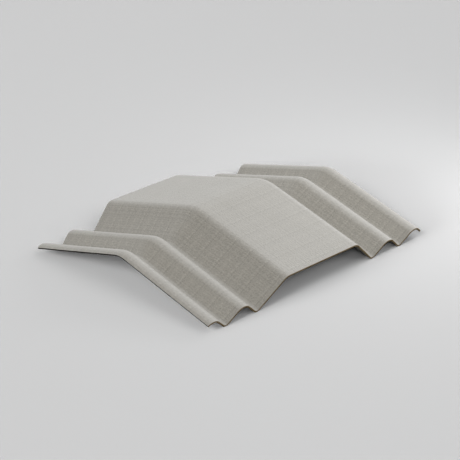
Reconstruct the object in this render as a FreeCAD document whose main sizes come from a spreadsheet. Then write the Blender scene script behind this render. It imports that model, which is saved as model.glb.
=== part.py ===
import FreeCAD, Part
import Sketcher
import PartDesign
import math
import os

# Roof ridge cap: one corrugated sheet, bent over the ridge, with a wing down each slope.
# X runs along the ridge from the underlap edge to the overlap edge, Y down the slopes, Z up.
# The origin is on the floor that the lower edges stand on, under the ridge and halfway along it.

NODE = "ridge_cap"

# Driving dimensions, in millimetres and degrees.
# Spans, rises, reaches and radii belong to the underside line, and the sheet lies on top of it.
# They run to the corners where the straight runs would meet, before those are rounded.
SIZES = {
    "sheet_thickness": 6.0,
    "crown_span": 582.8,
    "crown_rise": 105.6,
    "crown_radius": 39.0,
    "wave_pitch": 145.7,
    "flank_angle": 42.0,
    "valley_radius": 20.0,
    "crest_radius": 34.0,
    "underlap_reach": 62.5,
    "underlap_radius": 36.0,
    "underlap_lip": 25.0,
    "underlap_lip_angle": 33.0,
    "overlap_reach": 70.5,
    "overlap_radius": 33.0,
    "overlap_lip": 36.5,
    "overlap_lip_angle": 42.0,
    "roof_slope": 15.0,
    "bend_radius": 50.0,
    "wing_length": 420.0,
}

# The straight runs of the underside line, from the underlap edge to the overlap edge:
# which way each one slopes, and the size that says how steeply.
RISING, LEVEL, FALLING = 1, 0, -1
RUNS = [
    (RISING, "underlap_lip_angle"),
    (FALLING, "flank_angle"),
    (RISING, "flank_angle"),
    (FALLING, "flank_angle"),
    (RISING, "flank_angle"),
    (LEVEL, None),
    (FALLING, "flank_angle"),
    (RISING, "flank_angle"),
    (FALLING, "flank_angle"),
    (RISING, "flank_angle"),
    (FALLING, "overlap_lip_angle"),
]

# The radius at each corner between two runs, in the same order.
CORNER_RADII = [
    "underlap_radius",
    "valley_radius",
    "crest_radius",
    "valley_radius",
    "crown_radius",
    "crown_radius",
    "valley_radius",
    "crest_radius",
    "valley_radius",
    "overlap_radius",
]

# The straight part of a wing starts where the bend over the ridge ends.
WING_STRAIGHT = "(Sizes.wing_length - Sizes.bend_radius * tan(Sizes.roof_slope))"

# A rounded valley bottom lies this far above its corner.
VALLEY_LIFT = "Sizes.valley_radius * (1 / cos(Sizes.flank_angle) - 1)"

# The valley line is this high at the ridge when the valley bottoms touch the floor at the ends.
RIDGE_HEIGHT = (
    f"{WING_STRAIGHT} * sin(Sizes.roof_slope)"
    " + Sizes.bend_radius * (1 - cos(Sizes.roof_slope))"
    f" - {VALLEY_LIFT} * cos(Sizes.roof_slope)"
)

# The laps reach this far past the last valleys, up to the outer corners of their cut edges.
UNDERLAP_WIDTH = (
    "(Sizes.underlap_reach + Sizes.underlap_lip"
    " + Sizes.sheet_thickness * sin(Sizes.underlap_lip_angle))"
)
OVERLAP_WIDTH = (
    "(Sizes.overlap_reach + Sizes.overlap_lip"
    " + Sizes.sheet_thickness * sin(Sizes.overlap_lip_angle))"
)

# They differ, so the middle of the crown lies this far from the middle of the cap.
CROWN_SHIFT = f"({UNDERLAP_WIDTH} - {OVERLAP_WIDTH}) / 2"

# A sketch's numbers for the two ends of a line, its X axis and its origin.
START, END = 1, 2
X_AXIS = -1
ORIGIN = (-1, START)


def add_sizes(doc):
    """Keep every driving dimension in a sheet, one named cell each."""
    sheet = doc.addObject("Spreadsheet::Sheet", "Sizes")
    for row, (alias, value) in enumerate(SIZES.items(), start=1):
        sheet.set(f"A{row}", alias)
        sheet.set(f"B{row}", str(value))
        sheet.setAlias(f"B{row}", alias)
    doc.recompute()
    return sheet


def origin_plane(body, role):
    """The body's own plane of that role."""
    return next(feature for feature in body.Origin.OriginFeatures if feature.Role == role)


def corner_row(size):
    """Corners of the underside line, from edge to edge, measured from the valley line."""
    steepness = math.tan(math.radians(size.flank_angle))
    inner = size.crown_span / 2
    outer = inner + size.wave_pitch
    crest = inner + size.wave_pitch / 2
    crest_rise = size.wave_pitch / 2 * steepness
    crown = inner - size.crown_rise / steepness
    under = outer + size.underlap_reach
    under_rise = size.underlap_reach * steepness
    under_drop = size.underlap_lip * math.tan(math.radians(size.underlap_lip_angle))
    over = outer + size.overlap_reach
    over_rise = size.overlap_reach * steepness
    over_drop = size.overlap_lip * math.tan(math.radians(size.overlap_lip_angle))
    corners = [
        (-under - size.underlap_lip, under_rise - under_drop),
        (-under, under_rise),
        (-outer, 0),
        (-crest, crest_rise),
        (-inner, 0),
        (-crown, size.crown_rise),
        (crown, size.crown_rise),
        (inner, 0),
        (crest, crest_rise),
        (outer, 0),
        (over, over_rise),
        (over + size.overlap_lip, over_rise - over_drop),
    ]
    return [FreeCAD.Vector(x, rise, 0) for x, rise in corners]


def hold(sketch, expression, kind, *ends):
    """Add a dimension to the sketch and tie it to the sheet."""
    places = [number for end in ends for number in end]
    value = sketch.evalExpression(expression)
    index = sketch.addConstraint(Sketcher.Constraint(kind, *places, value))
    sketch.setExpression(f"Constraints[{index}]", expression)


def draw_runs(sketch, corners):
    """Draw the straight runs through the corners and join them end to end."""
    runs = [
        sketch.addGeometry(Part.LineSegment(start, end), False)
        for start, end in zip(corners, corners[1:])
    ]
    for run, following in zip(runs, runs[1:]):
        sketch.addConstraint(Sketcher.Constraint("Coincident", run, END, following, START))
    return runs


def round_corners(sketch, runs, corners, size):
    """Round every corner between two runs, and keep the corner itself as a point."""
    points = []
    for run, following, radius in zip(runs, runs[1:], CORNER_RADII):
        before = (corners[run] + corners[following]) / 2
        after = (corners[following] + corners[following + 1]) / 2
        sketch.fillet(run, following, before, after, getattr(size, radius), True, True)
        point = sketch.GeometryCount - 1
        arc = point - 1
        hold(sketch, f"Sizes.{radius}", "Radius", (arc,))
        points.append((point, START))
    return points


def dimension_runs(sketch, runs, points):
    """Hold the underside line by its slopes and by the places of its corners."""
    for run, (way, angle) in zip(runs, RUNS):
        if way == LEVEL:
            sketch.addConstraint(Sketcher.Constraint("Horizontal", run))
        else:
            hold(sketch, f"{way} * Sizes.{angle} * 1 deg", "Angle", (run,))

    under, outer_left, _, inner_left, crown, _, inner_right, _, outer_right, over = points
    for valley in (outer_left, inner_left, inner_right, outer_right):
        sketch.addConstraint(Sketcher.Constraint("PointOnObject", *valley, X_AXIS))

    hold(sketch, "Sizes.crown_span / 2", "DistanceX", inner_left, ORIGIN)
    hold(sketch, "Sizes.crown_span / 2", "DistanceX", ORIGIN, inner_right)
    hold(sketch, "Sizes.crown_rise", "DistanceY", inner_left, crown)
    hold(sketch, "Sizes.wave_pitch", "DistanceX", outer_left, inner_left)
    hold(sketch, "Sizes.wave_pitch", "DistanceX", inner_right, outer_right)
    hold(sketch, "Sizes.underlap_reach", "DistanceX", under, outer_left)
    hold(sketch, "Sizes.underlap_lip", "DistanceX", (runs[0], START), under)
    hold(sketch, "Sizes.overlap_reach", "DistanceX", outer_right, over)
    hold(sketch, "Sizes.overlap_lip", "DistanceX", over, (runs[-1], END))


def upright_sketch(body, name, height):
    """A sketch on the upright plane along the ridge, under the crown and at the given height."""
    sketch = body.newObject("Sketcher::SketchObject", name)
    sketch.AttachmentSupport = [(origin_plane(body, "XZ_Plane"), "")]
    sketch.MapMode = "FlatFace"
    sketch.setExpression("AttachmentOffset.Base.x", CROWN_SHIFT)
    sketch.setExpression("AttachmentOffset.Base.y", height)
    return sketch


def add_underside_line(body, size):
    """Draw the underside line across the ridge, over its valley line."""
    sketch = upright_sketch(body, "underside_line", RIDGE_HEIGHT)
    corners = corner_row(size)
    runs = draw_runs(sketch, corners)
    points = round_corners(sketch, runs, corners, size)
    dimension_runs(sketch, runs, points)
    return sketch


def add_bend_axis(body, size):
    """Draw the line that the sheet bends round, below the valley line."""
    sketch = upright_sketch(body, "bend_axis", f"{RIDGE_HEIGHT} - Sizes.bend_radius")
    half = FreeCAD.Vector(size.crown_span / 2, 0, 0)
    line = sketch.addGeometry(Part.LineSegment(-half, half), False)
    sketch.addConstraint(Sketcher.Constraint("Horizontal", line))
    sketch.addConstraint(Sketcher.Constraint("Symmetric", line, START, line, END, *ORIGIN))
    hold(sketch, "Sizes.crown_span", "DistanceX", (line, START), (line, END))
    return sketch


def add_sheet_section(body, underside_line):
    """Thicken the underside line upwards into the sheet's cut section."""
    sheet_section = body.newObject("PartDesign::SubShapeBinder", "sheet_section")
    sheet_section.Support = [(underside_line, ("",))]
    sheet_section.OffsetFill = True
    sheet_section.OffsetOpenResult = True
    sheet_section.setExpression("Offset", "Sizes.sheet_thickness")
    return sheet_section


def add_ridge_bend(body, sheet_section, bend_axis):
    """Turn the section round the bend axis, half of the turn to each side of the ridge."""
    bend = body.newObject("PartDesign::Revolution", "ridge_bend")
    bend.Profile = (sheet_section, [""])
    bend.ReferenceAxis = (bend_axis, ["Edge1"])
    bend.Midplane = True
    bend.setExpression("Angle", "2 * Sizes.roof_slope")
    return bend


def add_wings(body, bend):
    """Carry the sheet straight on down one slope, and mirror that wing down the other."""
    end = max(range(len(bend.Shape.Faces)), key=lambda face: bend.Shape.Faces[face].CenterOfMass.y)
    wing = body.newObject("PartDesign::Pad", "wing")
    wing.Profile = (bend, [f"Face{end + 1}"])
    wing.setExpression("Length", WING_STRAIGHT)
    far_wing = body.newObject("PartDesign::Mirrored", "far_wing")
    far_wing.Originals = [wing]
    far_wing.MirrorPlane = (origin_plane(body, "XZ_Plane"), [""])
    body.Tip = far_wing


def check(doc, body):
    """Stop at an object that failed, or at a shape that isn't one sound solid."""
    for item in doc.Objects:
        if "Invalid" in item.State or "Error" in item.State:
            raise RuntimeError(f"{item.Name} failed: {item.State}")
    shape = body.Shape
    if shape.isNull() or not shape.isValid() or len(shape.Solids) != 1:
        raise RuntimeError(f"{body.Label} is not one sound solid")


def main():
    doc = FreeCAD.newDocument("ridge_cap")
    size = add_sizes(doc)
    body = doc.addObject("PartDesign::Body", NODE)
    body.Label = NODE
    underside_line = add_underside_line(body, size)
    bend_axis = add_bend_axis(body, size)
    sheet_section = add_sheet_section(body, underside_line)
    bend = add_ridge_bend(body, sheet_section, bend_axis)
    doc.recompute()
    add_wings(body, bend)
    doc.recompute()
    check(doc, body)
    os.makedirs("parts", exist_ok=True)
    body.Shape.exportStep(f"parts/{NODE}.step")
    box = body.Shape.optimalBoundingBox(False, False)
    print(f"{NODE}: {box.XLength:.1f} x {box.YLength:.1f} x {box.ZLength:.1f} mm")
    print(f"X from {box.XMin:.3f} mm, lowest point {box.ZMin:.3f} mm, volume {body.Shape.Volume:.0f} mm3")


main()
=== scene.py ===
"""Dress the roof ridge cap: its felt-marked sheet, raw cut edges, floor, light and camera."""

import math
from typing import NamedTuple

import bmesh
import bpy
from bpy.props import FloatProperty, FloatVectorProperty, PointerProperty
from mathutils import Matrix, Vector, noise


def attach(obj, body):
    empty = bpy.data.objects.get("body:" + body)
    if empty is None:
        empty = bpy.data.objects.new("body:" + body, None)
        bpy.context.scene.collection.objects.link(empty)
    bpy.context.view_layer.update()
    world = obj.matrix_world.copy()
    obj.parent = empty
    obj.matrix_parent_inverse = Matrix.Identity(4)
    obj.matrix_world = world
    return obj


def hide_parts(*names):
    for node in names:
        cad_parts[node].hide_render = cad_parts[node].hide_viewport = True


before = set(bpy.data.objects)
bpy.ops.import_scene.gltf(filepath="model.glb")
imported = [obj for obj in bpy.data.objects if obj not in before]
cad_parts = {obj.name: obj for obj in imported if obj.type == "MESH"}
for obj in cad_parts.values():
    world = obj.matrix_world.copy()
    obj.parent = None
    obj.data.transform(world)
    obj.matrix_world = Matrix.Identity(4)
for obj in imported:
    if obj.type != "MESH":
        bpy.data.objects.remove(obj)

bl_info = {
    "name": "Roof Ridge Cap",
    "version": (1, 0, 0),
    "blender": (4, 5, 0),
    "location": "3D View > Sidebar > Ridge Cap",
    "description": "Builds a corrugated fibre-cement ridge cap and the studio round it",
    "category": "Add Mesh",
}

NODE = "ridge_cap"
BODY = "root"
PATTERN = "sheet_pattern"

ALONG_RIDGE = Vector((1, 0, 0))
ACROSS_RIDGE = Vector((0, 1, 0))
UP = Vector((0, 0, 1))
FRONT, BACK = -1, 1

# Places of the finishes in the sheet's list of materials, where the weather face comes first.
EDGE_FINISH = 1
UNDERSIDE_FINISH = 2

# How finely the sheet is cut into facets: the bend over the ridge is finer than other corners.
FEWEST_CORNER_FACETS = 2
RIDGE_FINENESS = 2
ROUNDING_FACETS = 2

# In the order of the mesh's elements, a metre down a slope counts for this many across the ridge.
ROW_RANK = 1000

# Edges sharper than this are cut edges, and are rounded.
CUT_EDGE_ANGLE = math.radians(60)

# The moulded sheet wanders in waves of about this number to the metre.
UNEVEN_WAVES = 7

# The weave of the forming felt, in one of its repeats: broad bands, fine ribs and one seam.
BANDS_PER_REPEAT = 2
RIBS_PER_REPEAT = 4
RIB_SHARE = 0.22
SEAM_SHARE = 0.07
KNOTS_PER_THREAD = 1.3

# How much each kind of mark adds to the felt's relief, and the mean that is taken off the sum.
FELT_WEIGHTS = {
    "bands": 0.055,
    "crossings": 0.04,
    "dashes": -0.14,
    "seam": -0.18,
    "weft": 0.28,
    "warp": 0.6,
    "knots": 1.0,
    "grain": 0.7,
}
FELT_MEAN = 1.26

# How squarely a face looks along the ridge: flat faces below the first, flanks above the second;
# the felt marks are painted stronger on the flanks as painted shade.
FLANK_FACING = (0.1, 0.65)

# An edge that looks more squarely down the slopes than this was sawn, and the others moulded.
SAWN_FACING = 0.5

# Most of a soft noise lies between these two values.
NOISE_RANGE = (0.35, 0.65)
CLOUD_ROUGHNESS = 0.6

# Fibre layers in the sawn edges, to the metre: thin upwards and drawn out level.
FIBRE_LAYERS = (25, 25, 900)


def length(name, value, description):
    """A property that holds a length in metres."""
    return FloatProperty(
        name=name, description=description, default=value, min=0, unit="LENGTH", precision=5
    )


def angle(name, degrees, description):
    """A property that holds an angle, given here in degrees."""
    return FloatProperty(
        name=name, description=description, default=math.radians(degrees), subtype="ANGLE"
    )


def colour(name, value, description):
    """A property that holds a colour in scene-linear red, green and blue."""
    return FloatVectorProperty(
        name=name, description=description, default=value, size=3, min=0, max=1, subtype="COLOR"
    )


def share(name, value, description):
    """A property that holds a plain amount from nought to one."""
    return FloatProperty(
        name=name, description=description, default=value, min=0, max=1, subtype="FACTOR"
    )


def amount(name, value, description):
    """A property that holds a plain number."""
    return FloatProperty(name=name, description=description, default=value)


def power(name, watts, description):
    """A property that holds the power of a lamp."""
    return FloatProperty(name=name, description=description, default=watts, unit="POWER")


class RidgeCapSheet(bpy.types.PropertyGroup):
    """Sizes of the moulded sheet, measured on its underside line to the unrounded corners."""

    thickness: length("Thickness", 0.006, "Thickness of the sheet")
    crown_span: length("Crown span", 0.5828, "Distance between the valleys beside the crown")
    crown_rise: length("Crown rise", 0.1056, "Height of the crown over the valleys")
    crown_radius: length("Crown radius", 0.039, "Rounding of the crown's two long corners")
    wave_pitch: length("Wave pitch", 0.1457, "Distance from valley to valley across a small wave")
    flank_angle: angle("Flank angle", 42, "Slope of the flanks of the crown and the waves")
    valley_radius: length("Valley radius", 0.020, "Rounding of the valleys")
    crest_radius: length("Crest radius", 0.034, "Rounding of the small waves' crests")
    underlap_reach: length("Underlap reach", 0.0625, "From the last valley to the underlap corner")
    underlap_radius: length("Underlap radius", 0.036, "Rounding of the underlap corner")
    underlap_lip: length("Underlap lip", 0.025, "Width of the lip past the underlap corner")
    underlap_lip_angle: angle("Underlap lip angle", 33, "Fall of the underlap lip")
    overlap_reach: length("Overlap reach", 0.0705, "From the last valley to the overlap corner")
    overlap_radius: length("Overlap radius", 0.033, "Rounding of the overlap corner")
    overlap_lip: length("Overlap lip", 0.0365, "Width of the lip past the overlap corner")
    overlap_lip_angle: angle("Overlap lip angle", 42, "Fall of the overlap lip")
    roof_slope: angle("Roof slope", 15, "Fall of each wing")
    bend_radius: length("Bend radius", 0.050, "Radius of the ridge bend at the valley line")
    wing_length: length("Wing length", 0.420, "From the unrounded ridge to the end of a wing")
    edge_rounding: length("Edge rounding", 0.0007, "Rounding of the cut edges")
    unevenness: length("Unevenness", 0.0004, "How far the sheet wanders from its true form")
    facet_length: length("Facet length", 0.009, "Longest facet on a straight run")
    facet_angle: angle("Facet angle", 6, "Most that one facet turns in a rounded corner")


class RidgeCapFinish(bpy.types.PropertyGroup):
    """Colours and marks of the fibre cement, with painted shade on the lap edges and on the
    flanks' marks.
    """

    cement: colour("Cement", (0.478, 0.457, 0.410), "Main colour of the weather face")
    cement_shade: colour("Cement shade", (0.460, 0.440, 0.394), "Darker clouds in the face")
    raw_edge: colour("Raw edge", (0.330, 0.245, 0.130), "Colour of the sawn edges")
    raw_edge_shade: colour("Raw edge shade", (0.230, 0.165, 0.085), "Fibre layers in those edges")
    # Painted shade: the moulded lap edges are coloured near black to stand in for the deep shade
    # they lie in.
    lap_edge_painted_shade: colour("Lap edge", (0.032, 0.028, 0.022), "Moulded edges of the two laps")
    underside: colour("Underside", (0.400, 0.388, 0.360), "Colour of the hidden side")
    felt_repeat: length("Felt repeat", 0.0718, "Distance after which the felt's weave repeats")
    thread_width: length("Thread width", 0.0072, "Width of one thread in the felt's marks")
    grain_size: length("Grain size", 0.007, "Size of the cement's grain")
    felt_depth: length("Felt depth", 0.0012, "Depth of the felt's marks")
    felt_shade: share("Felt shade", 0.18, "How far the marks shade the flat faces")
    # Painted shade: the marks are darkened more on the flanks, standing in for the stronger
    # shading that grazing light gives them there.
    flank_painted_shade_boost: amount("Felt drag", 2.35, "How much stronger the marks are on the flanks")
    roughness: share("Roughness", 0.65, "Roughness of the weather face")


class RidgeCapStage(bpy.types.PropertyGroup):
    """Floor, light and camera."""

    floor: colour("Floor", (0.05, 0.05, 0.05), "Colour of the floor under its own strong lamps")
    floor_bounce: colour(
        "Floor bounce", (0.0083, 0.0083, 0.0083), "Colour of the floor in the light it sends back"
    )
    floor_width: length("Floor width", 60.0, "Width of the floor")
    sky_bright: colour("Bright sky", (0.90, 0.935, 1.0), "Colour of the studio's bright side")
    sky_dim: colour("Dim sky", (0.199, 0.173, 0.127), "Colour of the studio's dim side")
    sky_strength: amount("Sky strength", 1.4, "Strength of the studio's even light")
    sky_way: FloatVectorProperty(
        name="Bright side",
        description="Way to the studio's bright side",
        default=(0.905, 0.406, 0.123),
        subtype="XYZ",
    )
    pool_power: power("Pool power", 57.0, "Power of the near lamp that brightens the floor")
    pool_width: length("Pool width", 0.8, "Width of that near lamp")
    pool_distance: length("Pool distance", 1.5, "Distance of that near lamp from the ridge")
    key: colour("Key", (0.945, 0.96, 1.0), "Colour of the soft lamp")
    key_power: power("Key power", 16.0, "Power of the soft lamp")
    key_width: length("Key width", 1.5, "Width of the soft lamp")
    key_distance: length("Key distance", 2.2, "Distance of the soft lamp from the ridge")
    key_elevation: angle("Key elevation", 35, "Height angle of both near lamps")
    key_bearing: angle("Key bearing", -20, "Bearing of both near lamps, from along the ridge")
    camera_azimuth: angle("Camera azimuth", -45.8933, "Bearing of the camera, from the front")
    camera_elevation: angle("Camera elevation", 24.4733, "Height angle of the camera")
    camera_roll: angle("Camera roll", 0.4915, "Turn of the camera about its own line of sight")
    camera_distance: length("Camera distance", 6.5584, "Distance from the camera to its aim")
    camera_lens: amount("Camera lens", 146.843, "Focal length in millimetres")
    camera_aim: FloatVectorProperty(
        name="Camera aim",
        description="Point in the middle of the picture",
        default=(-0.01893, -0.00829, 0.07625),
        subtype="XYZ",
        unit="LENGTH",
    )


class Wash(NamedTuple):
    """A lamp for the floor alone: its strength, and in degrees its bearing, height and spread."""

    power: float
    bearing: float
    elevation: float
    spread: float


FLOOR_WASHES = {
    "floor_left_low": Wash(power=47.0, bearing=180, elevation=8, spread=24),
    "floor_left": Wash(power=19.0, bearing=-165, elevation=34, spread=16),
    "floor_left_back": Wash(power=7.0, bearing=165, elevation=30, spread=30),
    "floor_corner": Wash(power=11.5, bearing=-135, elevation=28, spread=12),
    "floor_front_left": Wash(power=4.0, bearing=-105, elevation=36, spread=20),
    "floor_front": Wash(power=9.0, bearing=-90, elevation=48, spread=50),
}


def turn(radians, axis):
    """A turn about an axis through the origin."""
    return Matrix.Rotation(radians, 4, axis)


def add_object(scene, name, data):
    """Put a mesh, a lamp or a camera into the scene at the origin."""
    item = bpy.data.objects.new(name, data)
    scene.collection.objects.link(item)
    return item


def add_mesh(scene, name, bm, materials):
    """Put a finished bmesh into the scene with its materials."""
    mesh = bpy.data.meshes.new(name)
    bm.to_mesh(mesh)
    bm.free()
    for material in materials:
        mesh.materials.append(material)
    return add_object(scene, name, mesh)


def crown_shift(size):
    """How far the crown's middle lies from the cap's middle, because the two laps differ."""
    under = size.underlap_reach + size.underlap_lip
    over = size.overlap_reach + size.overlap_lip
    under_edge = size.thickness * math.sin(size.underlap_lip_angle)
    over_edge = size.thickness * math.sin(size.overlap_lip_angle)
    return (under + under_edge - over - over_edge) / 2


def corner_row(size):
    """Corners of the underside line from edge to edge, over the valley line."""
    steepness = math.tan(size.flank_angle)
    inner = size.crown_span / 2
    outer = inner + size.wave_pitch
    crest = inner + size.wave_pitch / 2
    crest_rise = size.wave_pitch / 2 * steepness
    crown = inner - size.crown_rise / steepness
    under = outer + size.underlap_reach
    under_rise = size.underlap_reach * steepness
    under_drop = size.underlap_lip * math.tan(size.underlap_lip_angle)
    over = outer + size.overlap_reach
    over_rise = size.overlap_reach * steepness
    over_drop = size.overlap_lip * math.tan(size.overlap_lip_angle)
    corners = [
        (-under - size.underlap_lip, under_rise - under_drop),
        (-under, under_rise),
        (-outer, 0),
        (-crest, crest_rise),
        (-inner, 0),
        (-crown, size.crown_rise),
        (crown, size.crown_rise),
        (inner, 0),
        (crest, crest_rise),
        (outer, 0),
        (over, over_rise),
        (over + size.overlap_lip, over_rise - over_drop),
    ]
    return [Vector((x + crown_shift(size), 0, rise)) for x, rise in corners]


def corner_radii(size):
    """Rounding of each corner between two runs of the underside line."""
    half = [size.valley_radius, size.crest_radius, size.valley_radius, size.crown_radius]
    return [size.underlap_radius, *half, *reversed(half), size.overlap_radius]


def wing_straight(size):
    """Length of a wing's straight part, past the bend over the ridge."""
    return size.wing_length - size.bend_radius * math.tan(size.roof_slope)


def ridge_height(size):
    """Height of the valley line at the ridge when the wings' ends stand on the floor."""
    valley_lift = size.valley_radius * (1 / math.cos(size.flank_angle) - 1)
    wing_fall = wing_straight(size) * math.sin(size.roof_slope)
    bend_fall = size.bend_radius * (1 - math.cos(size.roof_slope))
    return wing_fall + bend_fall - valley_lift * math.cos(size.roof_slope)


def bend_centre(size):
    """A point on the line that the sheet bends round."""
    return UP * (ridge_height(size) - size.bend_radius)


def down_slope(size, side):
    """The way down the slope on the front or the back side of the ridge."""
    return Vector((0, side * math.cos(size.roof_slope), -math.sin(size.roof_slope)))


def vertices_of(geometry):
    """The vertices in what a bmesh operator gave back."""
    return [item for item in geometry if isinstance(item, bmesh.types.BMVert)]


def edges_of(geometry):
    """The edges in what a bmesh operator gave back."""
    return [item for item in geometry if isinstance(item, bmesh.types.BMEdge)]


def run_on(bm, tip, end, facet_length):
    """Draw the line straight on from its tip to a point, in short equal steps."""
    stride = end - tip.co
    steps = max(1, math.ceil(stride.length / facet_length))
    for _ in range(steps):
        tip = bmesh.ops.extrude_vert_indiv(bm, verts=[tip])["verts"][0]
        bmesh.ops.translate(bm, verts=[tip], vec=stride / steps)
    return tip


def turn_on(bm, tip, heading, bend, radius, facet_angle):
    """Draw the line on round a corner from its tip, upwards where the bend is positive."""
    inward = heading.cross(ACROSS_RIDGE) * math.copysign(1, bend)
    turned = bmesh.ops.spin(
        bm,
        geom=[tip],
        cent=tip.co + inward * radius,
        axis=ACROSS_RIDGE,
        angle=-bend,
        steps=max(FEWEST_CORNER_FACETS, math.ceil(abs(bend) / facet_angle)),
    )
    return vertices_of(turned["geom_last"])[0]


def slope_of(heading):
    """The angle at which a run of the underside line rises."""
    return math.atan2(heading.z, heading.x)


def draw_underside_line(bm, size):
    """Draw the underside line across the ridge from edge to edge, with its corners rounded."""
    lift = UP * ridge_height(size)
    corners = [corner + lift for corner in corner_row(size)]
    headings = [(end - start).normalized() for start, end in zip(corners, corners[1:])]
    turns = zip(corners[1:], headings, headings[1:], corner_radii(size))
    start = tip = bm.verts.new(corners[0])
    for corner, before, after, radius in turns:
        bend = slope_of(after) - slope_of(before)
        setback = radius * math.tan(abs(bend) / 2)
        tip = run_on(bm, tip, corner - before * setback, size.facet_length)
        tip = turn_on(bm, tip, before, bend, radius, size.facet_angle)
    run_on(bm, tip, corners[-1], size.facet_length)
    return start


def measure_line(start, along):
    """Note on each vertex of the line how far along it lies."""
    came_by, tip = None, start
    while True:
        onward = [edge for edge in tip.link_edges if edge is not came_by]
        if not onward:
            return
        came_by = onward[0]
        following = came_by.other_vert(tip)
        following[along] = tip[along] + came_by.calc_length()
        tip = following


def carry_down(bm, edges, way, distance, facet_length):
    """Carry the end of the sheet straight on down a slope."""
    steps = math.ceil(distance / facet_length)
    for _ in range(steps):
        carried = bmesh.ops.extrude_edge_only(bm, edges=edges)["geom"]
        ends = vertices_of(carried)
        bmesh.ops.translate(bm, verts=ends, vec=way * (distance / steps))
        edges = [edge for edge in edges_of(carried) if all(end in ends for end in edge.verts)]


def bend_over_ridge(bm, size):
    """Turn the line over the ridge and carry it down both slopes."""
    centre = bend_centre(size)
    to_front = turn(size.roof_slope, ALONG_RIDGE).to_3x3()
    bmesh.ops.rotate(bm, verts=bm.verts, cent=centre, matrix=to_front)
    whole_bend = 2 * size.roof_slope
    front = bm.edges[:]
    turned = bmesh.ops.spin(
        bm,
        geom=bm.verts[:] + front,
        cent=centre,
        axis=ALONG_RIDGE,
        angle=-whole_bend,
        steps=math.ceil(RIDGE_FINENESS * whole_bend / size.facet_angle),
    )
    back = edges_of(turned["geom_last"])
    for edges, side in ((front, FRONT), (back, BACK)):
        carry_down(bm, edges, down_slope(size, side), wing_straight(size), size.facet_length)


def distance_down(point, size):
    """How far down the slopes a point lies from the ridge along the crown, negative in front."""
    side = math.copysign(1, point.y)
    from_centre = point - bend_centre(size)
    past_bend = from_centre.dot(down_slope(size, side))
    crown_bend_radius = size.bend_radius + size.crown_rise
    if past_bend > 0:
        return side * (size.roof_slope * crown_bend_radius + past_bend)
    return math.atan2(from_centre.y, from_centre.z) * crown_bend_radius


def lay_pattern(bm, along, size):
    """Unroll the sheet in metres: along its line, and down its slopes."""
    unrolled = bm.loops.layers.uv.new(PATTERN)
    for face in bm.faces:
        for loop in face.loops:
            loop[unrolled].uv = (loop.vert[along], distance_down(loop.vert.co, size))


def put_in_order(bm, along, size):
    """Order the elements by their place on the sheet, so that every run gives the same mesh."""

    def rank(vertex):
        return distance_down(vertex.co, size) * ROW_RANK + vertex[along]

    def middle_rank(element):
        return sum(rank(vertex) for vertex in element.verts) / len(element.verts)

    bm.verts.sort(key=rank)
    bm.edges.sort(key=middle_rank)
    bm.faces.sort(key=middle_rank)


def face_upwards(bm):
    """Turn the faces so that the sheet gets its thickness upwards."""
    bm.normal_update()
    if sum(face.normal.z for face in bm.faces) < 0:
        bmesh.ops.reverse_faces(bm, faces=bm.faces)
        bm.normal_update()


def make_uneven(bm, reach):
    """Let the sheet wander a little, as a hand-laid one does."""
    for vertex in bm.verts:
        vertex.co += vertex.normal * (reach * noise.noise(vertex.co * UNEVEN_WAVES))


def mould_underside(size):
    """The sheet's underside, with the place of each vertex on the flat felt."""
    bm = bmesh.new()
    along = bm.verts.layers.float.new("along")
    measure_line(draw_underside_line(bm, size), along)
    bend_over_ridge(bm, size)
    lay_pattern(bm, along, size)
    put_in_order(bm, along, size)
    face_upwards(bm)
    make_uneven(bm, size.unevenness)
    for face in bm.faces:
        face.smooth = True
    return bm


def finish_sheet(sheet, size):
    """Give the sheet its thickness upwards, its cut edges and their rounding."""
    wall = sheet.modifiers.new("Wall", "SOLIDIFY")
    wall.thickness = size.thickness
    wall.offset = 1
    wall.use_even_offset = True
    wall.use_quality_normals = True
    wall.material_offset = UNDERSIDE_FINISH
    wall.material_offset_rim = EDGE_FINISH
    rounding = sheet.modifiers.new("Cut edges", "BEVEL")
    rounding.width = size.edge_rounding
    rounding.segments = ROUNDING_FACETS
    rounding.limit_method = "ANGLE"
    rounding.angle_limit = CUT_EDGE_ANGLE
    rounding.harden_normals = True
    rounding.material = EDGE_FINISH


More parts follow.
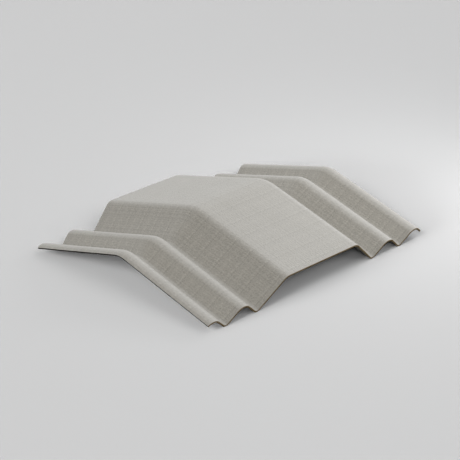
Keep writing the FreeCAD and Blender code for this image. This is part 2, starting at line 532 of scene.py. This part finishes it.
class Nodes:
    """The node tree of a new material or world, and short ways to add to it."""

    def __init__(self, owner, end):
        owner.use_nodes = True
        self.owner = owner
        self.tree = owner.node_tree
        self.end = self.tree.nodes[end]

    @classmethod
    def of_material(cls, name):
        """The nodes of a new material."""
        return cls(bpy.data.materials.new(name), "Principled BSDF")

    @classmethod
    def of_world(cls, name):
        """The nodes of a new world."""
        return cls(bpy.data.worlds.new(name), "Background")

    def finish(self, **inputs):
        """Fill the sockets of the last node, and give back the finished material or world."""
        for name, value in inputs.items():
            self.feed(self.end.inputs[name.replace("_", " ")], value)
        return self.owner

    def add(self, kind, settings=None, inputs=None):
        """Add a node, with its settings and what feeds or fills its sockets."""
        node = self.tree.nodes.new(kind)
        for name, value in (settings or {}).items():
            setattr(node, name, value)
        for name, value in (inputs or {}).items():
            self.feed(node.inputs[name], value)
        return node

    def feed(self, socket, value):
        """Link a socket to another one, or fill it with a constant."""
        if isinstance(value, bpy.types.NodeSocket):
            self.tree.links.new(value, socket)
        else:
            socket.default_value = value

    def coordinate(self, name):
        """One of the ways to say where a point is."""
        return self.add("ShaderNodeTexCoord").outputs[name]

    def split(self, vector):
        """The X, Y and Z of a vector."""
        return self.add("ShaderNodeSeparateXYZ", inputs={"Vector": vector}).outputs

    def stretched(self, vector, scale):
        """A place, scaled along each axis."""
        node = self.add("ShaderNodeMapping", inputs={"Vector": vector, "Scale": scale})
        return node.outputs["Vector"]

    def facing(self, axis):
        """How squarely a face looks along an axis, whichever way: from nought to one."""
        normal = self.add("ShaderNodeNewGeometry").outputs["True Normal"]
        return self.calc("ABSOLUTE", self.split(normal)[axis])

    def calc(self, operation, first, second=None):
        """One step of arithmetic, with one number or two."""
        node = self.add("ShaderNodeMath", {"operation": operation})
        self.feed(node.inputs[0], first)
        if second is not None:
            self.feed(node.inputs[1], second)
        return node.outputs["Value"]

    def vector_calc(self, operation, output, *vectors):
        """One step of arithmetic with vectors."""
        node = self.add("ShaderNodeVectorMath", {"operation": operation})
        for socket, vector in zip(node.inputs, vectors):
            self.feed(socket, vector)
        return node.outputs[output]

    def weighted(self, shares):
        """The sum of several values, each taken with its weight."""
        total = 0.0
        for value, weight in shares:
            total = self.calc("ADD", total, self.calc("MULTIPLY", value, weight))
        return total

    def ripple(self, value, count):
        """A wave that comes back that many times while the value grows by one."""
        return self.calc("SINE", self.calc("MULTIPLY", value, math.tau * count))

    def spread(self, value, low, high, to_low=0.0, to_high=1.0):
        """Spread a value's range from low to high over another range."""
        node = self.add(
            "ShaderNodeMapRange",
            inputs={
                "Value": value,
                "From Min": low,
                "From Max": high,
                "To Min": to_low,
                "To Max": to_high,
            },
        )
        return node.outputs["Result"]

    def noise(self, vector, scale, detail=2.0, roughness=0.5):
        """Soft noise in space."""
        node = self.add(
            "ShaderNodeTexNoise",
            inputs={"Vector": vector, "Scale": scale, "Detail": detail, "Roughness": roughness},
        )
        return node.outputs["Fac"]

    def line_noise(self, value, scale, detail=1.0):
        """Soft noise along one way, the same all across it."""
        node = self.add(
            "ShaderNodeTexNoise",
            {"noise_dimensions": "1D"},
            {"W": value, "Scale": scale, "Detail": detail},
        )
        return node.outputs["Fac"]

    def blend(self, factor, first, second, kind="MIX"):
        """Two colours mixed, or blended in another way."""
        node = self.add("ShaderNodeMix", {"data_type": "RGBA", "blend_type": kind})
        colours = [socket for socket in node.inputs if socket.type == "RGBA"]
        self.feed(node.inputs["Factor"], factor)
        for socket, value in zip(colours, (first, second)):
            self.feed(socket, value)
        return next(socket for socket in node.outputs if socket.type == "RGBA")

    def bump(self, height, depth):
        """Relief of that depth."""
        node = self.add("ShaderNodeBump", inputs={"Height": height, "Distance": depth})
        return node.outputs["Normal"]


def opaque(rgb):
    """A colour with its alpha."""
    return (*rgb, 1.0)


def felt_marks(nodes, finish):
    """Marks of the forming felt, whose weave repeats: nought on average and higher on a thread."""
    flat = nodes.add("ShaderNodeUVMap", {"uv_map": PATTERN}).outputs["UV"]
    repeats = nodes.stretched(flat, [1 / finish.felt_repeat] * 3)
    within = nodes.vector_calc("FRACTION", "Vector", repeats)
    parts = nodes.split(within)
    threads = finish.felt_repeat / finish.thread_width
    bands = nodes.ripple(parts["Y"], BANDS_PER_REPEAT)
    columns = nodes.ripple(parts["X"], BANDS_PER_REPEAT)
    knots = nodes.noise(within, threads * KNOTS_PER_THREAD, detail=1.0)
    within_rib = nodes.calc("FRACT", nodes.calc("MULTIPLY", parts["Y"], RIBS_PER_REPEAT))
    ribs = nodes.calc("LESS_THAN", within_rib, RIB_SHARE)
    marks = {
        "bands": bands,
        "crossings": nodes.calc("MULTIPLY", bands, columns),
        "dashes": nodes.calc("MULTIPLY", ribs, knots),
        "seam": nodes.calc("LESS_THAN", parts["Y"], SEAM_SHARE),
        "weft": nodes.line_noise(parts["Y"], threads),
        "warp": nodes.line_noise(parts["X"], threads),
        "knots": knots,
        "grain": nodes.noise(flat, 1 / finish.grain_size, detail=1.0),
    }
    total = nodes.weighted((marks[name], weight) for name, weight in FELT_WEIGHTS.items())
    return nodes.calc("SUBTRACT", total, FELT_MEAN)


def felt_cement(finish):
    """The weather face: matte warm grey cement with the weave of the forming felt, whose marks are
    painted stronger on the flanks as painted shade.
    """
    nodes = Nodes.of_material("felt_cement")
    clouds = nodes.noise(
        nodes.coordinate("Object"), scale=9.0, detail=4.0, roughness=CLOUD_ROUGHNESS
    )
    ground = nodes.blend(
        nodes.spread(clouds, *NOISE_RANGE), opaque(finish.cement), opaque(finish.cement_shade)
    )
    marks = felt_marks(nodes, finish)
    # Painted shade: the marks shade the steep flanks more strongly than the flat crown.
    strength = nodes.spread(
        nodes.facing("X"),
        *FLANK_FACING,
        to_low=finish.felt_shade,
        to_high=finish.felt_shade * finish.flank_painted_shade_boost,
    )
    shade = nodes.calc("ADD", 1.0, nodes.calc("MULTIPLY", marks, strength))
    return nodes.finish(
        Base_Color=nodes.blend(1.0, ground, shade, "MULTIPLY"),
        Roughness=finish.roughness,
        Normal=nodes.bump(marks, finish.felt_depth),
        Specular_IOR_Level=0.5,
    )


def raw_edge(finish):
    """The edges: painted near black along the moulded laps for the shade they lie in, and sawn
    brown in fine layers at the wings' ends.
    """
    nodes = Nodes.of_material("raw_edge")
    layers = nodes.noise(
        nodes.stretched(nodes.coordinate("Object"), FIBRE_LAYERS),
        scale=1.0,
        detail=3.0,
        roughness=CLOUD_ROUGHNESS,
    )
    brown = nodes.blend(
        nodes.spread(layers, *NOISE_RANGE), opaque(finish.raw_edge), opaque(finish.raw_edge_shade)
    )
    sawn = nodes.calc("GREATER_THAN", nodes.facing("Y"), SAWN_FACING)
    return nodes.finish(
        # Painted shade: the moulded lap edges take the near-black lap colour, the sawn ends their
        # brown.
        Base_Color=nodes.blend(sawn, opaque(finish.lap_edge_painted_shade), brown),
        Roughness=0.95,
        Normal=nodes.bump(layers, depth=0.0008),
        Specular_IOR_Level=0.2,
    )


def smooth_cement(finish):
    """The hidden side, which lay on the form: plainer and a little darker."""
    nodes = Nodes.of_material("smooth_cement")
    place = nodes.coordinate("Object")
    clouds = nodes.noise(place, scale=14.0, detail=5.0, roughness=CLOUD_ROUGHNESS)
    shade = nodes.spread(clouds, *NOISE_RANGE, to_low=0.92, to_high=1.06)
    grain = nodes.noise(place, scale=260.0)
    return nodes.finish(
        Base_Color=nodes.blend(1.0, opaque(finish.underside), shade, "MULTIPLY"),
        Roughness=0.9,
        Normal=nodes.bump(grain, depth=0.0004),
        Specular_IOR_Level=0.25,
    )


class RIDGECAP_OT_add_sheet(bpy.types.Operator):
    """Mould the corrugated sheet over the ridge, with its wings, laps and cut edges"""

    bl_idname = "ridgecap.add_sheet"
    bl_label = "Add Sheet"

    def execute(self, context):
        size = context.scene.ridge_cap_sheet
        finish = context.scene.ridge_cap_finish
        finishes = (felt_cement(finish), raw_edge(finish), smooth_cement(finish))
        sheet = add_mesh(context.scene, "ridge_cap_sheet", mould_underside(size), finishes)
        finish_sheet(sheet, size)
        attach(sheet, BODY)
        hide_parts(NODE)
        return {"FINISHED"}


def floor_paint(stage):
    """Paint that sends only a little of its light back to the cap."""
    nodes = Nodes.of_material("floor_paint")
    ray = nodes.add("ShaderNodeLightPath").outputs
    mirrored = nodes.calc("MAXIMUM", ray["Is Glossy Ray"], ray["Is Transmission Ray"])
    seen = nodes.calc("MAXIMUM", ray["Is Camera Ray"], mirrored)
    return nodes.finish(
        Base_Color=nodes.blend(seen, opaque(stage.floor_bounce), opaque(stage.floor)),
        Roughness=1.0,
        Specular_IOR_Level=0.0,
    )


def add_floor(stage, scene):
    """A plain pale floor under the lower edges."""
    bm = bmesh.new()
    bmesh.ops.create_grid(bm, x_segments=1, y_segments=1, size=stage.floor_width / 2)
    floor = add_mesh(scene, "floor", bm, [floor_paint(stage)])
    return floor


def studio_sky(stage):
    """Even light from all round, brighter on one side of the studio."""
    nodes = Nodes.of_world("studio")
    way = nodes.coordinate("Generated")
    towards = nodes.vector_calc("DOT_PRODUCT", "Value", way, stage.sky_way)
    brightness = nodes.spread(towards, low=-1.0, high=1.0)
    sky = nodes.blend(brightness, opaque(stage.sky_dim), opaque(stage.sky_bright))
    return nodes.finish(Color=sky, Strength=stage.sky_strength)


def lamp_turn(bearing, elevation):
    """A lamp's turn, so that it shines at the ridge from that bearing and height."""
    return turn(bearing, UP) @ turn(math.pi / 2 - elevation, ACROSS_RIDGE)


def add_near_lamp(name, stage, scene, watts, width, distance):
    """A soft round lamp near the overlap side of the cap."""
    lamp = bpy.data.lights.new(name, "AREA")
    lamp.shape = "DISK"
    lamp.size = width
    lamp.energy = watts
    item = add_object(scene, name, lamp)
    back_off = Matrix.Translation(UP * distance)
    item.matrix_world = lamp_turn(stage.key_bearing, stage.key_elevation) @ back_off
    return item


def add_wash(name, wash, scene):
    """A far lamp, whose spread softens its shadows."""
    lamp = bpy.data.lights.new(name, "SUN")
    lamp.energy = wash.power
    lamp.angle = math.radians(wash.spread)
    item = add_object(scene, name, lamp)
    item.matrix_world = lamp_turn(math.radians(wash.bearing), math.radians(wash.elevation))
    return item


def add_light(stage, scene, floor):
    """Even light from all round, one soft lamp on the cap, and lamps for the floor alone."""
    scene.world = studio_sky(stage)
    key = add_near_lamp(
        "key", stage, scene, stage.key_power, stage.key_width, stage.key_distance
    )
    key.data.color = stage.key
    pool = add_near_lamp(
        "floor_pool", stage, scene, stage.pool_power, stage.pool_width, stage.pool_distance
    )
    washes = [add_wash(name, wash, scene) for name, wash in FLOOR_WASHES.items()]
    floor_only = bpy.data.collections.new("floor_only")
    floor_only.objects.link(floor)
    for lamp in (pool, *washes):
        lamp.light_linking.receiver_collection = floor_only


def add_camera(stage, scene):
    """The camera in front and to the left, a little above the cap."""
    lens = bpy.data.cameras.new("camera")
    lens.lens = stage.camera_lens
    camera = add_object(scene, "camera", lens)
    aim = Matrix.Translation(stage.camera_aim)
    bearing = turn(stage.camera_azimuth, UP)
    upright = turn(math.pi / 2 - stage.camera_elevation, ALONG_RIDGE)
    roll = turn(stage.camera_roll, UP)
    back_off = Matrix.Translation(UP * stage.camera_distance)
    camera.matrix_world = aim @ bearing @ upright @ roll @ back_off
    scene.camera = camera


class RIDGECAP_OT_add_stage(bpy.types.Operator):
    """Set the floor, the soft light and the camera round the cap"""

    bl_idname = "ridgecap.add_stage"
    bl_label = "Add Stage"

    def execute(self, context):
        stage = context.scene.ridge_cap_stage
        floor = add_floor(stage, context.scene)
        add_light(stage, context.scene, floor)
        add_camera(stage, context.scene)
        context.scene.view_settings.view_transform = "Standard"
        return {"FINISHED"}


class RIDGECAP_PT_sidebar(bpy.types.Panel):
    """Lists the cap's sizes and finishes, and the steps that build it"""

    bl_idname = "RIDGECAP_PT_sidebar"
    bl_label = "Ridge Cap"
    bl_space_type = "VIEW_3D"
    bl_region_type = "UI"
    bl_category = "Ridge Cap"

    def draw(self, context):
        scene = context.scene
        for group in (scene.ridge_cap_sheet, scene.ridge_cap_finish, scene.ridge_cap_stage):
            box = self.layout.box()
            for name in group.__annotations__:
                box.prop(group, name)
        for operator in (RIDGECAP_OT_add_sheet, RIDGECAP_OT_add_stage):
            self.layout.operator(operator.bl_idname)


CLASSES = (
    RidgeCapSheet,
    RidgeCapFinish,
    RidgeCapStage,
    RIDGECAP_OT_add_sheet,
    RIDGECAP_OT_add_stage,
    RIDGECAP_PT_sidebar,
)


def register():
    for cls in CLASSES:
        bpy.utils.register_class(cls)
    bpy.types.Scene.ridge_cap_sheet = PointerProperty(type=RidgeCapSheet)
    bpy.types.Scene.ridge_cap_finish = PointerProperty(type=RidgeCapFinish)
    bpy.types.Scene.ridge_cap_stage = PointerProperty(type=RidgeCapStage)


def unregister():
    del bpy.types.Scene.ridge_cap_stage
    del bpy.types.Scene.ridge_cap_finish
    del bpy.types.Scene.ridge_cap_sheet
    for cls in reversed(CLASSES):
        bpy.utils.unregister_class(cls)


def main():
    """Build the cap and its stage."""
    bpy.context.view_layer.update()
    register()
    bpy.ops.ridgecap.add_sheet()
    bpy.ops.ridgecap.add_stage()


if __name__ == "__main__":
    main()
